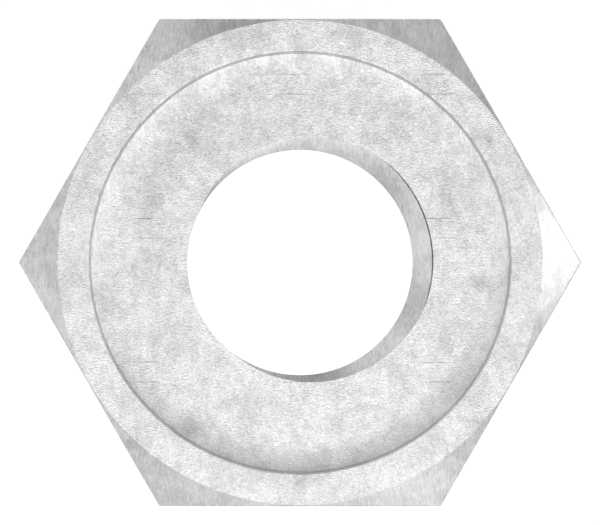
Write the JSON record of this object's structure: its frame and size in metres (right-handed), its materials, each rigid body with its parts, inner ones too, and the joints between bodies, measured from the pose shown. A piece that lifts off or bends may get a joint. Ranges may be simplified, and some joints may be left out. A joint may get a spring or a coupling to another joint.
{
  "type": "shear nut",
  "caption": "Zinc-coated steel security nut: a tapered round body, a thin neck that twists off when tight, and a chamfered hexagonal drive with a dished end around the thread.",
  "frame": {"origin": "centre of the bearing face, on the thread axis", "axes": "+Z along the thread axis from the bearing face up to the hexagon's end, +X through a corner of the hexagon"},
  "size_m": [0.0254, 0.022, 0.02],
  "materials": {
    "zinc_coated_steel": "dull mottled zinc, hot-dip galvanised"
  },
  "bodies": {
    "root": {"shear_nut": "zinc_coated_steel"}
  },
  "joints": []
}
